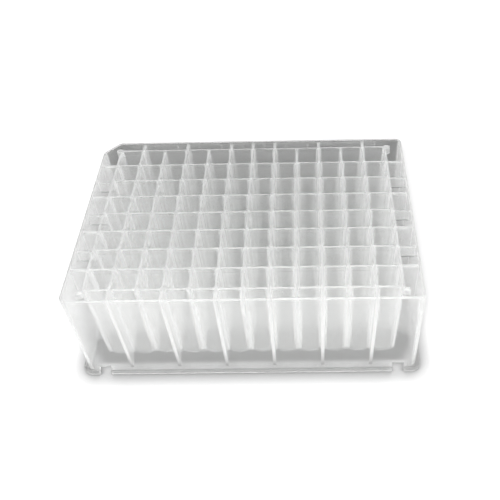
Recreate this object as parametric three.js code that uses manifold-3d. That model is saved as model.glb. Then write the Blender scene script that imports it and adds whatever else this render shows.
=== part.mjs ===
// A 96-well deep-well plate, injection moulded in one piece from natural polypropylene.
// Millimetres, +Z up. The origin is under the middle of the plate, on the surface it stands on;
// +X runs along the twelve columns, and the key corner of well A1 is at -X, +Y.
//
// The moulding has four features, joined into one body:
//   skirt   a thin outer wall that leans in towards its rim, and steps out into a foot flange
//   block   eight rows of twelve square wells that share their walls, each with a round bottom
//   ribs    upright webs that carry the block inside the skirt, some full height and some short
//   posts   four short ejector posts at the corners of the block, just under the rim

import * as THREE from 'three';
import { mergeGeometries, mergeVertices } from 'three/addons/utils/BufferGeometryUtils.js';
import Module from 'manifold-3d';

// Driving dimensions ---------------------------------------------------------------------------

// Foot flange, the standard footprint that racks and robots grip.
const plateLength = 127.76;
const plateWidth = 85.48;
const plateHeight = 44;
const flangeHeight = 2.4;
const flangeThickness = 1.2;
const flangeCornerRadius = 3.18;

// Skirt wall: how far it stands inside the flange, and how far it leans in by the rim.
const ledgeAtEnds = 1.7;
const ledgeAtSides = 1.2;
const ledgeThickness = 1.1;
const leanAtEnds = 1.2;
const leanAtSides = 0.3;
const wallThickness = 1;
const wallCornerRadius = 2.4;
const keyCornerCut = 6;

// Grip notches through the foot of each long side.
const notchWidth = 4.5;
const notchHeight = 3.8;
const notchFromEnd = 8.6;

// Wells.
const wellColumns = 12;
const wellRows = 8;
const wellPitch = 9;
const wellMouthWidth = 8.2;
const wellLowerWidth = 7.8;
const wellCornerCut = 0.9;
const wellDepth = 41;
const wellWallThickness = 0.8;
const wellBottomThickness = 1;
const valleyCornerCut = 1.5;

// Webs between the block and the skirt.
const ribThickness = 1.2;
const endRibThickness = 1.5;
const thinRibThickness = 0.8;
const ribTopDrop = 0.5;
const thinRibTopDrop = 1;
const ribBite = 0.3;
const ribFootSlope = 4.5;
const middleRibHeight = 10;
const thinRibHeight = 4.8;

// Ejector posts.
const postDiameter = 2.6;
const postHeight = 3;
const postOffset = 0.6;
const postTopDrop = 1;

// Smoothness: straight steps in each skirt corner and in each round well bottom.
const cornerSteps = 4;
const bottomRingAngles = [0, 40, 72];

// Sizes that follow from them ------------------------------------------------------------------

const halfLength = plateLength / 2;
const halfWidth = plateWidth / 2;
const wallFootX = halfLength - ledgeAtEnds;
const wallFootY = halfWidth - ledgeAtSides;
const wallRimX = wallFootX - leanAtEnds;
const wallRimY = wallFootY - leanAtSides;

const wellFloorZ = plateHeight - wellDepth;
const blockBottomZ = wellFloorZ - wellBottomThickness;
const roundBottomZ = wellFloorZ + wellLowerWidth / 2;
const blockMouthX = ((wellColumns - 1) * wellPitch + wellMouthWidth) / 2 + wellWallThickness;
const blockMouthY = ((wellRows - 1) * wellPitch + wellMouthWidth) / 2 + wellWallThickness;
const blockFootX = (wellColumns * wellPitch) / 2;
const blockFootY = (wellRows * wellPitch) / 2;

const overshoot = 1;

// How far the skirt's outer face, and the block's outer face, stand from the middle at a height.
const wallX = (z) => THREE.MathUtils.mapLinear(z, flangeHeight, plateHeight, wallFootX, wallRimX);
const wallY = (z) => THREE.MathUtils.mapLinear(z, flangeHeight, plateHeight, wallFootY, wallRimY);
const blockX = (z) => THREE.MathUtils.mapLinear(z, roundBottomZ, plateHeight, blockFootX, blockMouthX);
const blockY = (z) => THREE.MathUtils.mapLinear(z, roundBottomZ, plateHeight, blockFootY, blockMouthY);

// Solids: three.js geometry in, boolean join or cut, three.js geometry out -----------------------

const wasm = await Module();
wasm.setup();

function toSolid(geometry) {
  const bare = geometry.clone();
  bare.deleteAttribute('normal');
  bare.deleteAttribute('uv');
  const merged = mergeVertices(bare, 1e-5);
  return new wasm.Manifold(new wasm.Mesh({
    numProp: 3,
    vertProperties: new Float32Array(merged.attributes.position.array),
    triVerts: new Uint32Array(merged.index.array),
  }));
}

function toGeometry(solid) {
  const mesh = solid.getMesh();
  const indexed = new THREE.BufferGeometry();
  indexed.setAttribute('position', new THREE.BufferAttribute(new Float32Array(mesh.vertProperties), 3));
  indexed.setIndex(new THREE.BufferAttribute(new Uint32Array(mesh.triVerts), 1));
  const faceted = indexed.toNonIndexed();
  faceted.computeVertexNormals();
  return faceted;
}

// Lofts one closed body through level outlines that all have the same number of points, given
// anticlockwise from above and from the bottom one up. An outline may be a single point, a pole.
function loft(levels) {
  const positions = [];
  const index = [];
  const starts = levels.map(({ outline, z }) => {
    const start = positions.length / 3;
    outline.forEach((point) => positions.push(point.x, point.y, z));
    return start;
  });
  for (let level = 1; level < levels.length; level += 1) {
    const count = Math.max(levels[level - 1].outline.length, levels[level].outline.length);
    const lower = (i) => starts[level - 1] + (i % levels[level - 1].outline.length);
    const upper = (i) => starts[level] + (i % levels[level].outline.length);
    for (let i = 0; i < count; i += 1) {
      if (levels[level - 1].outline.length > 1) index.push(lower(i), lower(i + 1), upper(i + 1));
      if (levels[level].outline.length > 1) index.push(lower(i), upper(i + 1), upper(i));
    }
  }
  const cap = (level, turned) => {
    const { outline } = levels[level];
    if (outline.length < 3) return;
    THREE.ShapeUtils.triangulateShape(outline, []).forEach(([a, b, c]) => {
      const corners = turned ? [a, c, b] : [a, b, c];
      index.push(...corners.map((corner) => starts[level] + corner));
    });
  };
  cap(0, true);
  cap(levels.length - 1, false);
  const geometry = new THREE.BufferGeometry();
  geometry.setAttribute('position', new THREE.Float32BufferAttribute(positions, 3));
  geometry.setIndex(index);
  return geometry;
}

// Outlines, anticlockwise from above ---------------------------------------------------------------

// A rectangle with three round corners and, at -X, +Y, a key corner that is round or cut straight.
function skirtOutline(halfX, halfY, radius, keyCut = 0) {
  const corners = [[1, -1], [1, 1], [-1, 1], [-1, -1]];
  return corners.flatMap(([signX, signY], corner) => {
    const isKey = keyCut > 0 && signX < 0 && signY > 0;
    const reach = isKey ? keyCut : radius;
    const startAngle = (corner - 1) * (Math.PI / 2);
    return Array.from({ length: cornerSteps + 1 }, (_, step) => {
      const share = step / cornerSteps;
      if (isKey) return new THREE.Vector2(-halfX + reach * (1 - share), halfY - reach * share);
      const angle = startAngle + (share * Math.PI) / 2;
      return new THREE.Vector2(
        signX * (halfX - reach) + reach * Math.cos(angle),
        signY * (halfY - reach) + reach * Math.sin(angle),
      );
    });
  });
}

// A square with its four corners cut, which the wells have down to where their bottoms turn round.
function wellOutline(half, cut, centreX, centreY) {
  const near = half - cut;
  const points = [
    [half, -near], [half, near], [near, half], [-near, half],
    [-half, near], [-half, -near], [-near, -half], [near, -half],
  ];
  return points.map(([x, y]) => new THREE.Vector2(centreX + x, centreY + y));
}

// Features -----------------------------------------------------------------------------------------

// Outer wall and foot flange: one loft for the outside, cut by one for the inside.
function makeSkirt() {
  const outside = loft([
    { z: 0, outline: skirtOutline(halfLength, halfWidth, flangeCornerRadius) },
    { z: flangeHeight, outline: skirtOutline(halfLength, halfWidth, flangeCornerRadius) },
    { z: flangeHeight, outline: skirtOutline(wallFootX, wallFootY, wallCornerRadius, keyCornerCut) },
    { z: plateHeight, outline: skirtOutline(wallRimX, wallRimY, wallCornerRadius, keyCornerCut) },
  ]);
  const insideCut = keyCornerCut - wallThickness * (2 - Math.SQRT2);
  const insideRadius = Math.max(wallCornerRadius - wallThickness, wallCornerRadius / 4);
  const inside = (z) => ({
    z,
    outline: skirtOutline(wallX(z) - wallThickness, wallY(z) - wallThickness, insideRadius, insideCut),
  });
  const flangeInsideX = halfLength - flangeThickness;
  const flangeInsideY = halfWidth - flangeThickness;
  const flangeInsideRadius = flangeCornerRadius - flangeThickness;
  const flangeInside = skirtOutline(flangeInsideX, flangeInsideY, flangeInsideRadius);
  const ledgeUndersideZ = flangeHeight - ledgeThickness;
  const insideFlange = loft([
    { z: -overshoot, outline: flangeInside },
    { z: ledgeUndersideZ, outline: flangeInside },
  ]);
  const insideWall = loft([inside(ledgeUndersideZ - overshoot / 2), inside(plateHeight + overshoot)]);
  return toSolid(outside).subtract(toSolid(insideFlange)).subtract(toSolid(insideWall));
}

// Two notches through the foot of each long side, for grippers and for drainage.
function makeNotches() {
  const depth = ledgeAtSides + leanAtSides + wallThickness + overshoot;
  const notches = [-1, 1].flatMap((signX) => [-1, 1].map((signY) => {
    const notch = new THREE.BoxGeometry(notchWidth, depth + overshoot, notchHeight + overshoot);
    return notch.translate(
      signX * (halfLength - notchFromEnd),
      signY * (halfWidth + overshoot - (depth + overshoot) / 2),
      (notchHeight - overshoot) / 2,
    );
  }));
  return toSolid(mergeGeometries(notches));
}

// The middle of every well whose column and row numbers add up to an even or an odd number, or of all.
function wellCentres(keep = () => true) {
  const centres = [];
  for (let row = 0; row < wellRows; row += 1) {
    for (let column = 0; column < wellColumns; column += 1) {
      if (keep(row + column)) {
        centres.push([
          (column - (wellColumns - 1) / 2) * wellPitch,
          ((wellRows - 1) / 2 - row) * wellPitch,
        ]);
      }
    }
  }
  return centres;
}

// The round lower end of a well, inside or outside: rings that turn in along an ellipse to a pole.
function roundBottom(half, cut, depth, x, y) {
  const rings = bottomRingAngles.map((degrees) => {
    const angle = THREE.MathUtils.degToRad(degrees);
    const ringHalf = half * Math.cos(angle);
    const ringCut = degrees === 0 ? cut : ringHalf * (2 - Math.SQRT2);
    return { z: roundBottomZ - depth * Math.sin(angle), outline: wellOutline(ringHalf, ringCut, x, y) };
  });
  return [{ z: roundBottomZ - depth, outline: [new THREE.Vector2(x, y)] }, ...rings.reverse()];
}

// The hollow of one well: drafted square above, round below, open through the top.
function wellHollow([x, y]) {
  const draft = (wellMouthWidth - wellLowerWidth) / 2 / (plateHeight - roundBottomZ);
  const topHalf = wellMouthWidth / 2 + draft * overshoot;
  return loft([
    ...roundBottom(wellLowerWidth / 2, wellCornerCut, roundBottomZ - wellFloorZ, x, y),
    { z: plateHeight + overshoot, outline: wellOutline(topHalf, wellCornerCut, x, y) },
  ]);
}

// The outside of one round bottom. Its upper ring meets its neighbours' along a valley.
function wellBottom([x, y]) {
  const half = wellPitch / 2;
  const depth = roundBottomZ - blockBottomZ;
  return loft([
    ...roundBottom(half, valleyCornerCut, depth, x, y),
    { z: roundBottomZ + overshoot, outline: wellOutline(half, valleyCornerCut, x, y) },
  ]);
}

function makeBlock() {
  const rectangle = (halfX, halfY) => [[1, -1], [1, 1], [-1, 1], [-1, -1]]
    .map(([signX, signY]) => new THREE.Vector2(signX * halfX, signY * halfY));
  const slab = loft([
    { z: roundBottomZ, outline: rectangle(blockFootX, blockFootY) },
    { z: plateHeight, outline: rectangle(blockMouthX, blockMouthY) },
  ]);
  const bottoms = [0, 1].map((parity) => {
    const alternate = wellCentres((sum) => sum % 2 === parity);
    return toSolid(mergeGeometries(alternate.map(wellBottom)));
  });
  return toSolid(slab).add(bottoms[0]).add(bottoms[1]);
}

function makeHollows() {
  return toSolid(mergeGeometries(wellCentres().map(wellHollow)));
}

// A web seen from its side: it runs from inside the block's face to the middle of the skirt wall,
// between two heights, and its foot may rise towards the block.
function webProfile(blockFace, wallFace, bottomZ, topZ, footRise) {
  const inner = (z) => blockFace(Math.max(z, roundBottomZ)) - ribBite;
  const outer = (z) => wallFace(z) - wallThickness / 2;
  return new THREE.Shape([
    new THREE.Vector2(outer(bottomZ), bottomZ),
    new THREE.Vector2(outer(topZ), topZ),
    new THREE.Vector2(inner(topZ), topZ),
    new THREE.Vector2(inner(bottomZ + footRise), bottomZ + footRise),
  ]);
}

// Extrudes a web's profile to its thickness and stands it up, reaching outwards along `angle`.
function web(profile, thickness, angle, alongWall) {
  const geometry = new THREE.ExtrudeGeometry(profile, { depth: thickness, bevelEnabled: false });
  geometry.translate(0, 0, -thickness / 2);
  geometry.rotateX(Math.PI / 2);
  geometry.translate(0, alongWall, 0);
  geometry.rotateZ(angle);
  return geometry;
}

function makeRibs() {
  const topZ = plateHeight - ribTopDrop;
  const thinTopZ = plateHeight - thinRibTopDrop;
  const full = (block, wall) => webProfile(block, wall, flangeHeight, topZ, ribFootSlope);
  const middle = webProfile(blockY, wallY, topZ - middleRibHeight, topZ, 0);
  const thin = webProfile(blockX, wallX, thinTopZ - thinRibHeight, thinTopZ, 0);
  const webs = [];
  for (const side of [-1, 1]) {
    // Along each long side: a full web between every second pair of columns, a short one in the middle.
    const sideAngle = side * (Math.PI / 2);
    for (let line = 1; line < wellColumns; line += 1) {
      const along = (line - wellColumns / 2) * wellPitch;
      if (line % 2 === 1) webs.push(web(full(blockY, wallY), ribThickness, sideAngle, along));
      if (line * 2 === wellColumns) webs.push(web(middle, ribThickness, sideAngle, along));
    }
    // Along each end: full webs between rows 1|2, 3|4, 5|6 and 7|8, and thin short ones between those.
    const endAngle = side > 0 ? 0 : Math.PI;
    for (let line = 1; line < wellRows; line += 1) {
      const along = (line - wellRows / 2) * wellPitch;
      if (line % 2 === 1) webs.push(web(full(blockX, wallX), endRibThickness, endAngle, along));
      else webs.push(web(thin, thinRibThickness, endAngle, along));
    }
  }
  return toSolid(mergeGeometries(webs));
}

// Ejector posts hold on to the block's corners a little below its top.
function makePosts() {
  const middleZ = plateHeight - postTopDrop - postHeight / 2;
  const posts = [-1, 1].flatMap((signX) => [-1, 1].map((signY) => {
    const post = new THREE.CylinderGeometry(postDiameter / 2, postDiameter / 2, postHeight, 10);
    post.rotateX(Math.PI / 2);
    return post.translate(
      signX * (blockMouthX + postOffset),
      signY * (blockMouthY + postOffset),
      middleZ,
    );
  }));
  return toSolid(mergeGeometries(posts));
}

// Assembly -----------------------------------------------------------------------------------------

const moulding = makeSkirt()
  .add(makeBlock())
  .add(makeRibs())
  .add(makePosts())
  .subtract(makeNotches())
  .subtract(makeHollows());

const polypropylene = new THREE.MeshStandardMaterial({
  color: 0xe9ebea,
  roughness: 0.42,
  metalness: 0,
  transparent: true,
  opacity: 0.72,
  flatShading: true,
});

const wellPlate = new THREE.Mesh(toGeometry(moulding), polypropylene);
wellPlate.name = 'well_plate';

const group = new THREE.Group();
group.add(wellPlate);

export default group;
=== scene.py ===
# %% [markdown]
# # A deep-well plate
# A laboratory plate with ninety-six square wells, injection moulded in one shot from natural
# polypropylene. The plastic is milky: light goes through a thin wall, but it is scattered on the way,
# so what touches the wall shows and what lies behind it blurs into a glow.
#
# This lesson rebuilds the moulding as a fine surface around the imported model, gives it that milky
# plastic, and stands it on a white studio table. Everything is worked out in metres from a few sizes
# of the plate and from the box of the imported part.

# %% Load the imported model
import math

import bmesh
import bpy
import numpy as np
from mathutils import Matrix, Vector
from mathutils.geometry import convex_hull_2d


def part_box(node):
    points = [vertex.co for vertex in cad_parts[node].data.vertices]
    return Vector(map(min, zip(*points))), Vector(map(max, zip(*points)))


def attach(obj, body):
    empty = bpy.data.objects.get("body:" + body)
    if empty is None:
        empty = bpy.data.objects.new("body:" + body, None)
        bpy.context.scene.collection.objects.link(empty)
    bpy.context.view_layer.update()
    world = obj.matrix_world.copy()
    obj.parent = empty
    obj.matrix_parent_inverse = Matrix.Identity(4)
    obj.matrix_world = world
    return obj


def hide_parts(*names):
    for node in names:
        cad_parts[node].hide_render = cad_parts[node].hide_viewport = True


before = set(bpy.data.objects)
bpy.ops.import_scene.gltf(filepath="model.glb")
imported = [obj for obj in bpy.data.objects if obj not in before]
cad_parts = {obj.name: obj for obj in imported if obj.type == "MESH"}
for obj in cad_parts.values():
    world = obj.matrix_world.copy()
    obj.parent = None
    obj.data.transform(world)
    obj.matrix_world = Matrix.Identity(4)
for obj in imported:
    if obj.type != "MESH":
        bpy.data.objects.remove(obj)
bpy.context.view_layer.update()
plate_low, plate_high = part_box("well_plate")
print("packed plate, mm:",
      [round(1000 * (high - low), 2) for low, high in zip(plate_low, plate_high)])

# %% [markdown]
# ## Sizes
# A plate's footprint, height and nine millimetre pitch are standard, so that racks, grippers and
# pipetting heads fit it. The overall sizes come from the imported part, and the rest is what the mould
# maker chose: walls near a millimetre, a little draft on each, and soft edges.

# %% The plate's sizes
MM = 0.001
HALF_LENGTH = plate_high.x
HALF_WIDTH = plate_high.y
HEIGHT = plate_high.z

FLANGE_HEIGHT = 2.4 * MM
FLANGE_THICKNESS = 1.2 * MM
FLANGE_RADIUS = 3.18 * MM
LEDGE_AT_ENDS = 1.7 * MM
LEDGE_AT_SIDES = 1.2 * MM
LEDGE_THICKNESS = 1.1 * MM
LEAN_AT_ENDS = 1.2 * MM
LEAN_AT_SIDES = 0.3 * MM
WALL = 1.0 * MM
WALL_RADIUS = 2.4 * MM
KEY_CUT = 6.0 * MM
EDGE = 0.25 * MM             # the radius of the soft edges
OVERSHOOT = 1.0 * MM         # how far a cutting body reaches past what it cuts

COLUMNS, ROWS = 12, 8
PITCH = 9.0 * MM
WELL_MOUTH = 8.2 * MM
WELL_LOWER = 7.8 * MM
WELL_RADIUS = 1.1 * MM
WELL_DEPTH = 41.0 * MM
WELL_WALL = 0.8 * MM
BOTTOM_THICKNESS = 1.0 * MM

WALL_FOOT = np.array([HALF_LENGTH - LEDGE_AT_ENDS, HALF_WIDTH - LEDGE_AT_SIDES])
WALL_RIM = WALL_FOOT - [LEAN_AT_ENDS, LEAN_AT_SIDES]
WELL_FLOOR = HEIGHT - WELL_DEPTH
BLOCK_BOTTOM = WELL_FLOOR - BOTTOM_THICKNESS
ROUND_START = WELL_FLOOR + WELL_LOWER / 2
BLOCK_FOOT = np.array([COLUMNS, ROWS]) * PITCH / 2
BLOCK_MOUTH = (np.array([COLUMNS, ROWS]) - 1) * PITCH / 2 + WELL_MOUTH / 2 + WELL_WALL
CORNERS = (-1, -1), (-1, 1), (1, -1), (1, 1)


def skirt_half(z):
    """Half sizes of the skirt's outer face at height z: a straight lean from its foot to its rim."""
    share = (np.asarray(z, float)[..., None] - FLANGE_HEIGHT) / (HEIGHT - FLANGE_HEIGHT)
    return WALL_FOOT + share * (WALL_RIM - WALL_FOOT)


def block_half(z):
    """Half sizes of the well block at height z: a straight draft from the round bottoms to the top."""
    share = (np.asarray(z, float)[..., None] - ROUND_START) / (HEIGHT - ROUND_START)
    return BLOCK_FOOT + np.clip(share, 0, 1) * (BLOCK_MOUTH - BLOCK_FOOT)


print("skirt rim, mm:", np.round(2000 * WALL_RIM, 2),
      "block top, mm:", np.round(2000 * BLOCK_MOUTH, 2))

# %% [markdown]
# ## One outline for everything
# The skirt, the flange, the wells and the round posts all have outlines of one family: a rectangle
# whose four corners are cut at 45 degrees, with each of the eight bends rounded. A small cut with the
# right radius is a plain round corner, a cut that reaches the middle is a circle, and one large cut
# is the key corner that marks the first well. Four separate drawing functions would do as well, but
# one formula keeps every ring of points alike, so any two rings can be joined by a band of faces.

# %% The outline and the loft
CIRCLE_CUT = 2 - math.sqrt(2)       # the cut that turns a corner of radius one into a quarter circle


def outlines(half_x, half_y, radius, height, key_cut=None, steps=4):
    """Rings of points, one for each height.

    Side k of the outline faces angle k * 45 degrees and lies at distance d: half_x or half_y for the
    straight sides, and (half_x + half_y - cut) / sqrt(2) for the cut corners. The bend between sides
    k and k + 1 is an arc whose centre is one radius inside both: centre = a n + ((b - a cos 45) / sin
    45) t, where a and b are the two distances less the radius, n is side k's normal and t is n
    turned by 90 degrees. The arc's points are centre + radius (cos angle, sin angle).
    """
    half_x, half_y, radius, height = np.broadcast_arrays(half_x, half_y, radius, height)
    levels = half_x.size
    half_x, half_y, radius, height = (np.reshape(values, (levels, 1))
                                      for values in (half_x, half_y, radius, height))
    cuts = np.repeat(radius * CIRCLE_CUT, 4, axis=1)
    if key_cut is not None:
        cuts[:, 1] = np.broadcast_to(key_cut, levels)
    distance = np.empty((levels, 8))
    distance[:, 0::4] = half_x
    distance[:, 2::4] = half_y
    distance[:, 1::2] = (half_x + half_y - cuts) / math.sqrt(2)
    bends = np.repeat(radius, 8, axis=1)
    if key_cut is not None:
        bends[:, 2:4] = np.minimum(bends[:, 2:4], cuts[:, 1:2] / CIRCLE_CUT)
    a = distance - bends
    b = np.roll(distance, -1, axis=1) - bends
    side_angle = np.arange(8) * math.pi / 4
    normal = np.stack([np.cos(side_angle), np.sin(side_angle)], -1)
    tangent = np.stack([-normal[:, 1], normal[:, 0]], -1)
    along = (b - a * math.cos(math.pi / 4)) / math.sin(math.pi / 4)
    centre = a[..., None] * normal + along[..., None] * tangent
    angle = side_angle[:, None] + np.linspace(0, math.pi / 4, steps + 1)
    arc = np.stack([np.cos(angle), np.sin(angle)], -1)
    flat = (centre[:, :, None] + bends[:, :, None, None] * arc).reshape(levels, -1, 2)
    z = np.broadcast_to(height[:, :, None], flat.shape[:2] + (1,))
    return np.concatenate([flat, z], -1)


def new_object(name, data):
    """An object of the data, linked to the scene."""
    made = bpy.data.objects.new(name, data)
    bpy.context.scene.collection.objects.link(made)
    return made


def finished_mesh(body):
    """The mesh that a body's modifiers or its curve give."""
    bpy.context.view_layer.update()
    depsgraph = bpy.context.evaluated_depsgraph_get()
    return bpy.data.meshes.new_from_object(body.evaluated_get(depsgraph))


def loft(name, rings, places=((0, 0, 0),), hoop=False):
    """A mesh of closed bodies, one at each place: ring l, point p joins to ring l + 1 and point p + 1.

    A hoop joins its last ring to its first one, and any other body is closed by a face on each end.
    """
    levels, points = rings.shape[:2]
    places = np.asarray(places, float)
    vertices = (rings[None] + places[:, None, None]).reshape(-1, 3)
    bands = levels if hoop else levels - 1
    level, point = np.meshgrid(np.arange(bands), np.arange(points), indexing="ij")
    after, beside = (level + 1) % levels, (point + 1) % points
    quads = np.stack([level * points + point, level * points + beside,
                      after * points + beside, after * points + point], -1).reshape(-1, 4)
    starts = (np.arange(len(places)) * levels * points)[:, None, None]
    faces = (quads[None] + starts).reshape(-1, 4).tolist()
    if not hoop:
        ends = np.stack([np.arange(points)[::-1], np.arange(points) + (levels - 1) * points])
        faces += (ends[None] + starts).reshape(-1, points).tolist()
    mesh = bpy.data.meshes.new(name)
    mesh.from_pydata(vertices.tolist(), [], faces)
    return new_object(name, mesh)


def combine(body, tool, operation):
    """Joins the tool to the body or cuts it out, with the Manifold solver, and drops the tool."""
    modifier = body.modifiers.new(operation.title(), "BOOLEAN")
    modifier.operation = operation
    modifier.solver = "MANIFOLD"
    modifier.object = tool
    result = finished_mesh(body)
    body.modifiers.clear()
    body.data = result
    bpy.data.objects.remove(tool)


def quarter(steps=3):
    """Cosines and sines of a quarter turn in equal steps, for a rounded edge."""
    angle = np.linspace(0, math.pi / 2, steps + 1)
    return np.cos(angle), np.sin(angle)


print("a round corner is a cut of", round(CIRCLE_CUT, 3), "radii")

# %% [markdown]
# ## The skirt
# The skirt is the thin wall around the wells, with the foot flange that racks and grippers hold. On
# the mould it is one cavity and one core. Here it is a profile carried round the outline: up the
# outside of the flange, in over the ledge, up the leaning wall, over the rim, and down the inside. A
# solid block with a smaller block cut out of it would need two shapes and a cut; the hoop needs one.

# %% Skirt and foot flange
cos_q, sin_q = quarter()
inner_underside = FLANGE_HEIGHT - LEDGE_THICKNESS


def skirt_profile():
    """Rows of (inset at the ends, inset at the sides, corner radius, key cut, height), all in
    metres, up the outside of the wall and down its inside. The wall's inner corners keep at least a
    third of its outer radius."""
    rows = []

    def flange_row(inset, z):
        radius = FLANGE_RADIUS - inset
        rows.append((inset, inset, radius, radius * CIRCLE_CUT, z))

    def wall_row(z, inset):
        half = skirt_half(z) - inset
        cut = KEY_CUT - inset * CIRCLE_CUT
        radius = max(WALL_RADIUS - inset, WALL_RADIUS / 3)
        rows.append((HALF_LENGTH - half[0], HALF_WIDTH - half[1], radius, cut, z))

    for c, s in zip(cos_q, sin_q):
        flange_row(EDGE * (1 - s), EDGE * (1 - c))
    for c, s in zip(cos_q, sin_q):
        flange_row(EDGE * (1 - c), FLANGE_HEIGHT - EDGE * (1 - s))
    wall_row(FLANGE_HEIGHT, 0.0)
    wall_row((FLANGE_HEIGHT + HEIGHT) / 2, 0.0)
    for c, s in zip(cos_q, sin_q):
        wall_row(HEIGHT - EDGE * (1 - s), EDGE * (1 - c))
    for c, s in zip(cos_q[::-1], sin_q[::-1]):
        wall_row(HEIGHT - EDGE * (1 - s), WALL - EDGE * (1 - c))
    wall_row((FLANGE_HEIGHT + HEIGHT) / 2, WALL)
    wall_row(inner_underside, WALL)
    flange_row(FLANGE_THICKNESS, inner_underside)
    flange_row(FLANGE_THICKNESS, 0.0)
    return np.array(rows)


profile = skirt_profile()
skirt_rings = outlines(HALF_LENGTH - profile[:, 0], HALF_WIDTH - profile[:, 1], profile[:, 2],
                       profile[:, 4], key_cut=profile[:, 3], steps=5)
plate = loft("well_plate_moulding", skirt_rings, hoop=True)
print("skirt:", len(profile), "rows in the profile,", len(plate.data.polygons), "faces")

# %% [markdown]
# ## The well block
# Ninety-six wells share their walls in one block. Each well is square at its mouth, narrows a little
# on the way down so that it comes off its core, and ends in a round bottom. From below the bottoms
# are a field of domes that meet in valleys. A well is the same lofted shape everywhere, so one set of
# rings is worked out and copied to every place at once: the hollows to be cut, and the domes to be
# joined. Neighbouring domes touch along the valleys, so they are joined in two sets, like the black
# and white squares of a chess board.

# %% Slab, domes and hollows
POLE_ANGLE = 86              # degrees, where a round bottom is closed by a small flat face
DOME_RADIUS = 2.5 * MM       # the domes' corners where they meet the slab
DOME_LIFT = 1.0 * MM         # how far the domes reach up into the slab
STEP_DEPTH = 2.0 * MM        # the small step under each mouth
STEP_WIDTH = 0.1 * MM
SLAB_RADIUS = 0.6 * MM

column, row = np.meshgrid(np.arange(COLUMNS), np.arange(ROWS))
well_places = np.stack([(column - (COLUMNS - 1) / 2) * PITCH,
                        ((ROWS - 1) / 2 - row) * PITCH,
                        np.zeros(column.shape)], -1)
is_even = (column + row) % 2 == 0


def round_bottom(half, top_radius, depth, steps):
    """Half size, corner radius and height of rings down a round bottom, from its pole up.

    At angle t the half size is half cos t and the height is depth sin t below the start. The corner
    radius grows from its share at the top to the whole half size at the pole, where the ring is round.
    """
    angle = np.radians(np.linspace(POLE_ANGLE, 0, steps + 1))
    size = half * np.cos(angle)
    share = top_radius / half
    return size, size * (share + (1 - share) * np.sin(angle)), ROUND_START - depth * np.sin(angle)


def dome_rings():
    """The outside of a round bottom, one pitch wide, with a straight collar up into the slab."""
    half, radius, height = round_bottom(PITCH / 2, DOME_RADIUS, ROUND_START - BLOCK_BOTTOM, 7)
    half, radius = np.append(half, half[-1]), np.append(radius, radius[-1])
    return outlines(half, half, radius, np.append(height, ROUND_START + DOME_LIFT), steps=3)


def hollow_rings():
    """Round bottom, drafted wall, the small step under the mouth, and the mouth's soft edge."""
    half, radius, height = round_bottom(WELL_LOWER / 2, WELL_RADIUS, ROUND_START - WELL_FLOOR, 8)
    mouth = WELL_MOUTH / 2
    half = np.concatenate([half, [mouth - STEP_WIDTH, mouth],
                           mouth + EDGE * (1 - cos_q), [mouth + EDGE]])
    height = np.concatenate([height, [HEIGHT - STEP_DEPTH - STEP_WIDTH, HEIGHT - STEP_DEPTH],
                             HEIGHT - EDGE * (1 - sin_q), [HEIGHT + OVERSHOOT]])
    radius = np.append(radius, np.full(half.size - radius.size, WELL_RADIUS))
    return outlines(half, half, radius, height, steps=3)


slab_top = HEIGHT - EDGE * (1 - sin_q)
slab_rows = np.concatenate([[ROUND_START, (ROUND_START + HEIGHT) / 2], slab_top])
slab_inset = np.concatenate([[0, 0], EDGE * (1 - cos_q)])
slab_half = block_half(slab_rows) - slab_inset[:, None]
slab_rings = outlines(slab_half[:, 0], slab_half[:, 1], SLAB_RADIUS, slab_rows)
combine(plate, loft("slab", slab_rings), "UNION")
for chosen in (is_even, ~is_even):
    combine(plate, loft("domes", dome_rings(), well_places[chosen]), "UNION")
print("block joined:", len(plate.data.polygons), "faces")

# %% [markdown]
# ## Ribs and posts
# Only thin upright webs hold the block inside the skirt, and the space between them is open from top
# to bottom. Every second web is full height, its foot rising from the flange to the domes. Between
# them stand short ones: one in the middle of each long side, and thin ones at the ends. Four short
# round posts at the block's corners are where the mould's pins push the plate out. One function
# makes every web, because they differ only in their sizes.

# %% Webs between the block and the skirt
RIB_BITE = 0.3 * MM          # how deep a web's inner end sits in the block
RIB_CORNER = 0.12 * MM
FOOT_RISE = 4.5 * MM
RIB_TOP = HEIGHT - 0.5 * MM
SIDE_RIB, END_RIB, THIN_RIB = 1.2 * MM, 1.5 * MM, 0.8 * MM
THIN_TOP = HEIGHT - 1.0 * MM
THIN_HEIGHT = 4.8 * MM
MIDDLE_HEIGHT = 10 * MM


def web_rings(axis, bottom, top, thickness, foot_rise):
    """Rings of a thin upright web that reaches outwards along +X: it starts inside the block's face
    and ends in the middle of the skirt wall, and both ends follow those faces' lean. Its lowest
    ring rises towards the block in proportion to the way in."""
    height = np.array([bottom, (bottom + top) / 2, top])
    inner = block_half(height)[:, axis] - RIB_BITE
    outer = skirt_half(height)[:, axis] - WALL / 2
    rings = outlines((outer - inner) / 2, thickness / 2, RIB_CORNER, height, steps=1)
    rings[..., 0] += ((outer + inner) / 2)[:, None]
    way_in = (outer[0] - rings[0, :, 0]) / (outer[0] - inner[0])
    rings[0, :, 2] += foot_rise * way_in
    return rings


def turned(rings, quarter_turns):
    """The rings turned about Z by quarter turns: x' = x cos - y sin, and y' = x sin + y cos."""
    c, s = [(1, 0), (0, 1), (-1, 0), (0, -1)][quarter_turns]
    x, y = rings[..., 0], rings[..., 1]
    return np.stack([x * c - y * s, x * s + y * c, rings[..., 2]], -1)


def web_set(name, axis, lines, **sizes):
    """One body for each line between columns or rows, on both of the sides that they end at."""
    for turns in ((0, 2) if axis == 0 else (1, 3)):
        places = np.zeros((len(lines), 3))
        places[:, 1 - axis] = lines
        combine(plate, loft(name, turned(web_rings(axis, **sizes), turns), places), "UNION")


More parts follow.
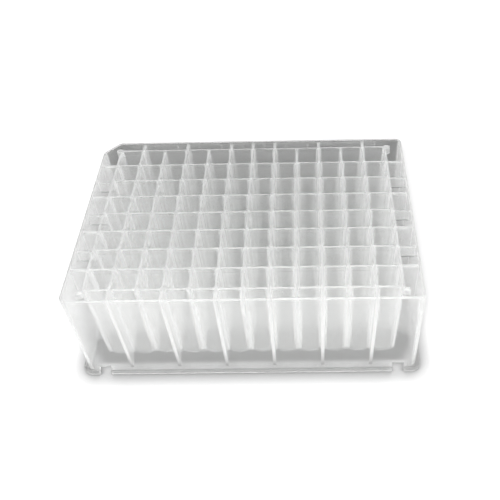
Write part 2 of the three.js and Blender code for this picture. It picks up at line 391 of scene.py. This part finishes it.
column_lines = (np.arange(1, COLUMNS) - COLUMNS / 2) * PITCH
row_lines = (np.arange(1, ROWS) - ROWS / 2) * PITCH
web_set("side_ribs", 1, column_lines[0::2],
        bottom=FLANGE_HEIGHT, top=RIB_TOP, thickness=SIDE_RIB, foot_rise=FOOT_RISE)
web_set("end_ribs", 0, row_lines[0::2],
        bottom=FLANGE_HEIGHT, top=RIB_TOP, thickness=END_RIB, foot_rise=FOOT_RISE)
web_set("middle_ribs", 1, column_lines[COLUMNS // 2 - 1:COLUMNS // 2],
        bottom=RIB_TOP - MIDDLE_HEIGHT, top=RIB_TOP, thickness=SIDE_RIB, foot_rise=0)
web_set("thin_ribs", 0, row_lines[1::2],
        bottom=THIN_TOP - THIN_HEIGHT, top=THIN_TOP, thickness=THIN_RIB, foot_rise=0)
print("webs joined:", len(plate.data.polygons), "faces")

# %% Ejector posts
POST_RADIUS = 1.3 * MM
POST_TOP = HEIGHT - 1.0 * MM
POST_HEIGHT = 3.0 * MM
POST_OUTSIDE = 0.6 * MM      # from the block's corner out to the post's axis, each way
post_height = np.array([POST_TOP - POST_HEIGHT, POST_TOP])
post_rings = outlines(POST_RADIUS, POST_RADIUS, POST_RADIUS, post_height, steps=3)
post_x, post_y = BLOCK_MOUTH + POST_OUTSIDE
post_places = [(sx * post_x, sy * post_y, 0) for sx, sy in CORNERS]
combine(plate, loft("posts", post_rings, post_places), "UNION")
print("posts joined:", len(plate.data.polygons), "faces")

# %% [markdown]
# ## Notches and hollows
# The last two cuts are the grip notches, which go through the foot of each long side near its ends,
# and the hollows of the wells. Cutting the wells last keeps them clean of everything joined before.

# %% Cut the notches and the wells
NOTCH_WIDTH = 4.5 * MM
NOTCH_HEIGHT = 3.8 * MM
NOTCH_FROM_END = 8.6 * MM
NOTCH_CORNER = 0.15 * MM
notch_depth = LEDGE_AT_SIDES + LEAN_AT_SIDES + WALL + OVERSHOOT
notch_rings = outlines(NOTCH_WIDTH / 2, notch_depth / 2 + OVERSHOOT / 2, NOTCH_CORNER,
                       np.array([-OVERSHOOT, NOTCH_HEIGHT]), steps=1)
notch_x = HALF_LENGTH - NOTCH_FROM_END
notch_y = HALF_WIDTH + OVERSHOOT / 2 - notch_depth / 2
notch_places = [(sx * notch_x, sy * notch_y, 0) for sx, sy in CORNERS]
combine(plate, loft("notches", notch_rings, notch_places), "DIFFERENCE")
combine(plate, loft("hollows", hollow_rings(), well_places.reshape(-1, 3)), "DIFFERENCE")
print("notches and wells cut:", len(plate.data.polygons), "faces")

# %% [markdown]
# ## Column numerals
# The columns are numbered on the inside of the back wall, just under the rim. On the mould the
# numerals are cut into the steel, so on the plate they stand out by a fraction of a millimetre. A
# typeface gives their outlines, which are thickened, stood upright and sunk half way into the wall.
# They could be a bump in the material, but a joined shape also shows at its edges.

# %% Numerals on the back wall
NUMERAL_SIZE = 2.8 * MM
NUMERAL_RAISE = 0.3 * MM
NUMERAL_FOOT = HEIGHT - 3.3 * MM
WELD_DISTANCE = 0.001 * MM
SHARP_ANGLE = 35             # degrees between two faces, past which the edge stays sharp


def numeral(text, place):
    """A closed body of the text, thickened to both sides of its plane and stood upright to face -Y."""
    curve = bpy.data.curves.new("numeral", "FONT")
    curve.body = text
    curve.size = NUMERAL_SIZE
    curve.align_x = "CENTER"
    curve.extrude = NUMERAL_RAISE
    curve.resolution_u = 2
    letters = new_object("numeral", curve)
    mesh = finished_mesh(letters)
    bpy.data.objects.remove(letters)
    mesh.transform(Matrix.Translation(place) @ Matrix.Rotation(math.pi / 2, 4, "X"))
    weld = bmesh.new()
    weld.from_mesh(mesh)
    bmesh.ops.remove_doubles(weld, verts=weld.verts, dist=WELD_DISTANCE)
    weld.to_mesh(mesh)
    weld.free()
    return new_object("numeral", mesh)


wall_face = skirt_half(NUMERAL_FOOT + NUMERAL_SIZE / 3)[1] - WALL
for number in range(1, COLUMNS + 1):
    place = ((number - (COLUMNS + 1) / 2) * PITCH, wall_face, NUMERAL_FOOT)
    combine(plate, numeral(str(number), place), "UNION")
plate.data.shade_smooth()
plate.data.set_sharp_from_angle(angle=math.radians(SHARP_ANGLE))
triangles = sum(len(face.vertices) - 2 for face in plate.data.polygons)
print("moulding:", triangles, "triangles")

# %% [markdown]
# ## Natural polypropylene
# The plastic has no pigment. Tiny crystals in it scatter light, so a wall of one millimetre lets most
# of the light through and sends some of it back. One wall looks clear grey, and many walls in a row
# add up to white. White paint would hide what lies behind, and rough glass would only blur it. So
# the moulding is described as it is: a clear body with a soft surface, filled with an even haze.
# Light that enters it is turned aside now and then and leaves somewhere else, which is why the edges
# of the walls glow. The moulding's faint clouds and the fine grain of the mould come from noise on
# the object's own coordinates. The refractive index is a little lower than the real one, because
# walls as smooth as these would otherwise sparkle like cut glass.

# %% The plastic
HAZE = 240.0                 # how many times a metre of the plastic turns light aside
HAZE_COLOUR = 0.998, 0.998, 0.998, 1
PLASTIC_IOR = 1.3
PLASTIC_TINTS = (0.985, 0.99, 0.99, 1), (1.0, 1.0, 0.995, 1)
PLASTIC_ROUGHNESS = 0.15, 0.2
CLOUD_SCALE, CLOUD_DETAIL = 45.0, 3.0        # scales count the spots along one metre
GRAIN_SCALE = 2500.0
GRAIN_STRENGTH = 0.15
GRAIN_HEIGHT = 0.02 * MM


def milky_plastic(name):
    """Milky plastic: a clear, softly rough surface round a haze, with clouds and a fine grain."""
    material = bpy.data.materials.new(name)
    material.use_nodes = True
    tree = material.node_tree
    shader = tree.nodes["Principled BSDF"]
    shader.inputs["Transmission Weight"].default_value = 1.0
    shader.inputs["IOR"].default_value = PLASTIC_IOR
    haze = tree.nodes.new("ShaderNodeVolumeScatter")
    haze.inputs["Color"].default_value = HAZE_COLOUR
    haze.inputs["Density"].default_value = HAZE
    haze.inputs["Anisotropy"].default_value = 0.0
    tree.links.new(haze.outputs["Volume"], tree.nodes["Material Output"].inputs["Volume"])
    place = tree.nodes.new("ShaderNodeTexCoord")
    clouds = tree.nodes.new("ShaderNodeTexNoise")
    clouds.inputs["Scale"].default_value = CLOUD_SCALE
    clouds.inputs["Detail"].default_value = CLOUD_DETAIL
    tree.links.new(place.outputs["Object"], clouds.inputs["Vector"])
    tint = tree.nodes.new("ShaderNodeMix")
    tint.data_type = "RGBA"
    tint.inputs["A"].default_value, tint.inputs["B"].default_value = PLASTIC_TINTS
    tree.links.new(clouds.outputs["Fac"], tint.inputs["Factor"])
    tree.links.new(tint.outputs["Result"], shader.inputs["Base Color"])
    blur = tree.nodes.new("ShaderNodeMapRange")
    blur.inputs["To Min"].default_value, blur.inputs["To Max"].default_value = PLASTIC_ROUGHNESS
    tree.links.new(clouds.outputs["Fac"], blur.inputs["Value"])
    tree.links.new(blur.outputs["Result"], shader.inputs["Roughness"])
    grain = tree.nodes.new("ShaderNodeTexNoise")
    grain.inputs["Scale"].default_value = GRAIN_SCALE
    tree.links.new(place.outputs["Object"], grain.inputs["Vector"])
    bump = tree.nodes.new("ShaderNodeBump")
    bump.inputs["Strength"].default_value = GRAIN_STRENGTH
    bump.inputs["Distance"].default_value = GRAIN_HEIGHT
    tree.links.new(grain.outputs["Fac"], bump.inputs["Height"])
    tree.links.new(bump.outputs["Normal"], shader.inputs["Normal"])
    return material


plate.data.materials.clear()
plate.data.materials.append(milky_plastic("natural_polypropylene"))
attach(plate, "root")
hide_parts("well_plate")
print("material:", plate.data.materials[0].name, "with haze", HAZE, "to the metre")

# %% [markdown]
# ## The table and its painted shadow
# A clear plastic shows mostly what is behind it, so the table matters as much as the plate. Light
# comes from the viewer's side, and the plate's shadow falls away from the viewer, where the plate
# itself hides it. The walls show that shade as their grey, and the white table shows at their edges.
# The table's white is a glow, which only the camera and rays from the plastic can see, so that it
# adds no light of its own. The table's own grey takes the real shadow, and the glow is held back in a
# painted shadow. Rays from the plastic find the whole painted shadow, and the camera finds only a set
# share of it.
#
# The painted shadow's outline is worked out: the rim's corners are cast on the table from an
# imagined long lamp in front of the plate, which is not in the scene, and the outline goes round them
# and the foot. Its edge is sharp at the foot and gets softer with the height of what casts it. Close
# to the foot the glow is darkened too, by a painted contact shade: ambient occlusion measures the
# part of the room that the plate hides there.

# %% The table's painted shadow
# The two ends of an imagined lamp, not in the scene, from which the painted shadow is cast.
PAINTED_SHADOW_LAMP_ENDS = Vector((0.0, -165 * MM, 210 * MM)), Vector((22 * MM, -165 * MM, 210 * MM))
FOOT_INSET = Vector((2.0 * MM, 4.5 * MM))
FOOT_BLUR = 2.0 * MM
BLUR_WITH_HEIGHT = 0.2


def cast(lamp, point):
    """Where the line from the lamp through a point meets the table: lamp + (point - lamp) * share,
    with share = the lamp's height / (the lamp's height - the point's height)."""
    return lamp + (point - lamp) * lamp.z / (lamp.z - point.z)


def shadow_edges():
    """(outward direction, distance from the middle, blur) of each straight edge of the painted shadow.
    """
    foot = [Vector((sx * (HALF_LENGTH - FOOT_INSET.x), sy * (HALF_WIDTH - FOOT_INSET.y), 0))
            for sx, sy in CORNERS]
    rim = [Vector((sx * WALL_RIM[0], sy * WALL_RIM[1], HEIGHT)) for sx, sy in CORNERS]
    casters = [(lamp, corner) for lamp in PAINTED_SHADOW_LAMP_ENDS for corner in foot + rim]
    points = [cast(lamp, corner).xy for lamp, corner in casters]
    around = convex_hull_2d(points)
    edges = []
    for start, end in zip(around, around[1:] + around[:1]):
        along = points[end] - points[start]
        outward = Vector((along.y, -along.x)).normalized()
        if outward.dot(points[start]) < 0:
            outward.negate()
        blur = FOOT_BLUR + BLUR_WITH_HEIGHT * (casters[start][1].z + casters[end][1].z) / 2
        edges.append((outward, outward.dot(points[start]), blur))
    return edges


for outward, distance, blur in shadow_edges():
    print("shadow edge towards", [round(share, 2) for share in outward],
          "at", round(1000 * distance, 1), "mm, blur", round(1000 * blur, 1))


# %% Helpers for the table and the tent
def maths(tree, operation, first, second):
    """A Math node on two inputs, each a number or a socket; gives its output socket."""
    node = tree.nodes.new("ShaderNodeMath")
    node.operation = operation
    for socket, value in zip(node.inputs, (first, second)):
        if isinstance(value, (int, float)):
            socket.default_value = value
        else:
            tree.links.new(value, socket)
    return node.outputs[0]


def fade(tree, value, full, none):
    """One where the value is below full, zero where it is above none, and a soft step between them."""
    node = tree.nodes.new("ShaderNodeMapRange")
    node.interpolation_type = "SMOOTHSTEP"
    for name, number in (("From Min", full), ("From Max", none), ("To Min", 1), ("To Max", 0)):
        node.inputs[name].default_value = number
    tree.links.new(value, node.inputs["Value"])
    return node.outputs["Result"]


def background_level(tree, to_camera, to_plastic):
    """How bright the background is: to_camera straight from the camera, to_plastic for rays that
    were mirrored by the plastic or went through it, and zero for all others."""
    path = tree.nodes.new("ShaderNodeLightPath")
    plastic = maths(tree, "MAXIMUM",
                    path.outputs["Is Glossy Ray"], path.outputs["Is Transmission Ray"])
    straight = maths(tree, "MULTIPLY", path.outputs["Is Camera Ray"], to_camera)
    return maths(tree, "MAXIMUM", straight, maths(tree, "MULTIPLY", plastic, to_plastic))


# %% The table
PAPER = 0.13                 # the table's own grey, which takes the room's light
GLOW_TO_CAMERA, GLOW_TO_PLASTIC = 1.0, 0.92
# The painted shadow and the painted contact shade darken the table's glow; these set how much for each
# kind of ray.
SHADE_TO_CAMERA, SHADE_TO_PLASTIC = 0.3, 1.0          # the share of the shadow that each finds
CONTACT_TO_CAMERA, CONTACT_TO_PLASTIC = 2.0, 1.0      # powers of the unhidden part of the room
CONTACT_REACH = 8 * MM
TABLE_REACH = 3.0
TABLE_DROP = 0.02 * MM       # keeps the table's face apart from the plate's

table_mesh = bpy.data.meshes.new("table")
table_mesh.from_pydata([(TABLE_REACH * sx, TABLE_REACH * sy, 0) for sx, sy in CORNERS],
                       [], [(0, 2, 3, 1)])
table = new_object("table", table_mesh)
table.location.z = -TABLE_DROP

paper = bpy.data.materials.new("table_paper")
paper.use_nodes = True
tree = paper.node_tree
tree.nodes.clear()
place = tree.nodes.new("ShaderNodeTexCoord")
# The painted shadow: one inside its outline, zero outside it, with soft edges.
shade = 1.0
for outward, distance, blur in shadow_edges():
    across = tree.nodes.new("ShaderNodeVectorMath")
    across.operation = "DOT_PRODUCT"
    across.inputs[1].default_value = (outward.x, outward.y, 0)
    tree.links.new(place.outputs["Object"], across.inputs[0])
    inside = fade(tree, across.outputs["Value"], distance - blur, distance)
    shade = maths(tree, "MULTIPLY", shade, inside)
# Painted contact shade: ambient occlusion darkens the table's glow near the plate's foot.
contact = tree.nodes.new("ShaderNodeAmbientOcclusion")
contact.inputs["Distance"].default_value = CONTACT_REACH


def glow_level(white, shade_share, contact_power):
    """The glow, darkened by the painted shadow and the painted contact shade: white * (1 - shade_share
    * shade) * contact ^ contact_power.
    """
    left = maths(tree, "SUBTRACT", 1.0, maths(tree, "MULTIPLY", shade, shade_share))
    near = maths(tree, "POWER", contact.outputs["AO"], contact_power)
    return maths(tree, "MULTIPLY", maths(tree, "MULTIPLY", left, near), white)


to_camera = glow_level(GLOW_TO_CAMERA, SHADE_TO_CAMERA, CONTACT_TO_CAMERA)
to_plastic = glow_level(GLOW_TO_PLASTIC, SHADE_TO_PLASTIC, CONTACT_TO_PLASTIC)
glow = tree.nodes.new("ShaderNodeEmission")
tree.links.new(background_level(tree, to_camera, to_plastic), glow.inputs["Strength"])
diffuse = tree.nodes.new("ShaderNodeBsdfDiffuse")
diffuse.inputs["Color"].default_value = (PAPER, PAPER, PAPER, 1)
both = tree.nodes.new("ShaderNodeAddShader")
tree.links.new(diffuse.outputs[0], both.inputs[0])
tree.links.new(glow.outputs[0], both.inputs[1])
output = tree.nodes.new("ShaderNodeOutputMaterial")
tree.links.new(both.outputs[0], output.inputs["Surface"])
table_mesh.materials.append(paper)
print("table:", len(tree.nodes), "nodes in its paper")

# %% [markdown]
# ## The light
# The plate stands in a white tent. The tent is brightest on the viewer's side, plain white overhead,
# dim to the left and right, and dark behind the plate, so the last row of wells stays grey. Seen
# directly, the tent is white. A weak soft lamp low in front of the plate reaches the lower part of
# the skirt, which light from above does not.

# %% World and lamp
TENT_FRONT = 1.85
TENT_BACK = 0.05
TENT_TURN = -0.8, 0.8        # between which shares of straight back the tent falls to its back level
TENT_SIDE_LOSS = 0.4

world = bpy.data.worlds.new("studio")
bpy.context.scene.world = world
world.use_nodes = True
tree = world.node_tree
background = tree.nodes["Background"]
background.inputs["Color"].default_value = (1, 1, 1, 1)
direction = tree.nodes.new("ShaderNodeTexCoord")
parts = tree.nodes.new("ShaderNodeSeparateXYZ")
tree.links.new(direction.outputs["Generated"], parts.inputs[0])
tent = fade(tree, parts.outputs["Y"], *TENT_TURN)
tent = maths(tree, "ADD", maths(tree, "MULTIPLY", tent, TENT_FRONT - TENT_BACK), TENT_BACK)
sides = maths(tree, "MULTIPLY", maths(tree, "POWER", parts.outputs["X"], 2.0), TENT_SIDE_LOSS)
tent = maths(tree, "MULTIPLY", tent, maths(tree, "SUBTRACT", 1.0, sides))
straight = tree.nodes.new("ShaderNodeLightPath").outputs["Is Camera Ray"]
tent = maths(tree, "MULTIPLY", tent, maths(tree, "SUBTRACT", 1.0, straight))
tree.links.new(maths(tree, "ADD", tent, straight), background.inputs["Strength"])


def soft_light(name, size, watts, azimuth, elevation, distance):
    """A square light that looks at the plate's middle from an azimuth and an elevation in degrees.
    Azimuth 0 is the viewer's side, and a positive one is turned clockwise, seen from above."""
    light = bpy.data.lights.new(name, "AREA")
    light.size = size
    light.energy = watts
    lamp = new_object(name, light)
    turn = (Matrix.Rotation(math.radians(-azimuth), 4, "Z")
            @ Matrix.Rotation(math.radians(90 - elevation), 4, "X"))
    middle = Matrix.Translation((0, 0, HEIGHT / 2))
    lamp.matrix_world = middle @ turn @ Matrix.Translation((0, 0, distance))


soft_light("key", size=0.3, watts=0.4, azimuth=-8, elevation=12, distance=0.55)
print("tent:", TENT_FRONT, "in front,", TENT_BACK, "behind, and one soft lamp")

# %% [markdown]
# ## Camera
# The plate is seen from in front and above, a little right of its middle. The camera stands close, so
# the plate narrows towards the back. It looks nearly straight ahead, and a small shift of the lens
# brings the plate to the middle, as moving the film in an old plate camera does. Turning the camera
# would do it too, but the upright edges would lean another way.

# %% Camera
CAMERA_PLACE = 22.6 * MM, -164.9 * MM, 209.7 * MM
CAMERA_YAW, CAMERA_PITCH, CAMERA_ROLL = -1.36, 48.72, -1.85      # degrees
SENSOR_WIDTH = 36.0                                              # millimetres, as the lens is
FOCAL_LENGTH = 45.2304
LENS_SHIFT = -0.099                                              # share of the sensor's width

lens = bpy.data.cameras.new("camera")
camera = new_object("camera", lens)
yaw, pitch, roll = (math.radians(angle) for angle in (CAMERA_YAW, CAMERA_PITCH, CAMERA_ROLL))
camera.matrix_world = (Matrix.Translation(CAMERA_PLACE)
                       @ Matrix.Rotation(-yaw, 4, "Z")
                       @ Matrix.Rotation(math.pi / 2 - pitch, 4, "X")
                       @ Matrix.Rotation(roll, 4, "Z"))
lens.sensor_width = SENSOR_WIDTH
lens.lens = FOCAL_LENGTH
lens.shift_x = LENS_SHIFT
lens.clip_start = 0.01
lens.clip_end = 10
bpy.context.scene.camera = camera
print("camera:", round(camera.location.length, 3), "m from the plate's foot")

# %% [markdown]
# ## Render settings
# A ray crosses many walls before it leaves the plate, and each crossing is a bounce. With too few of
# them the light is lost on the way and the plate turns dark. The blur that Cycles puts on rough glass
# to save time loses light too, so it is off.

# %% Render settings that the looks need
BOUNCES = 64
VOLUME_BOUNCES = 32
DIFFUSE_BOUNCES = 8

scene = bpy.context.scene
scene.view_settings.view_transform = "Standard"
scene.cycles.use_denoising = True
scene.cycles.max_bounces = BOUNCES
scene.cycles.transmission_bounces = BOUNCES
scene.cycles.glossy_bounces = BOUNCES
scene.cycles.volume_bounces = VOLUME_BOUNCES
scene.cycles.diffuse_bounces = DIFFUSE_BOUNCES
scene.cycles.transparent_max_bounces = BOUNCES
scene.cycles.blur_glossy = 0
print("bounces:", BOUNCES, "in all,", VOLUME_BOUNCES, "in the haze")
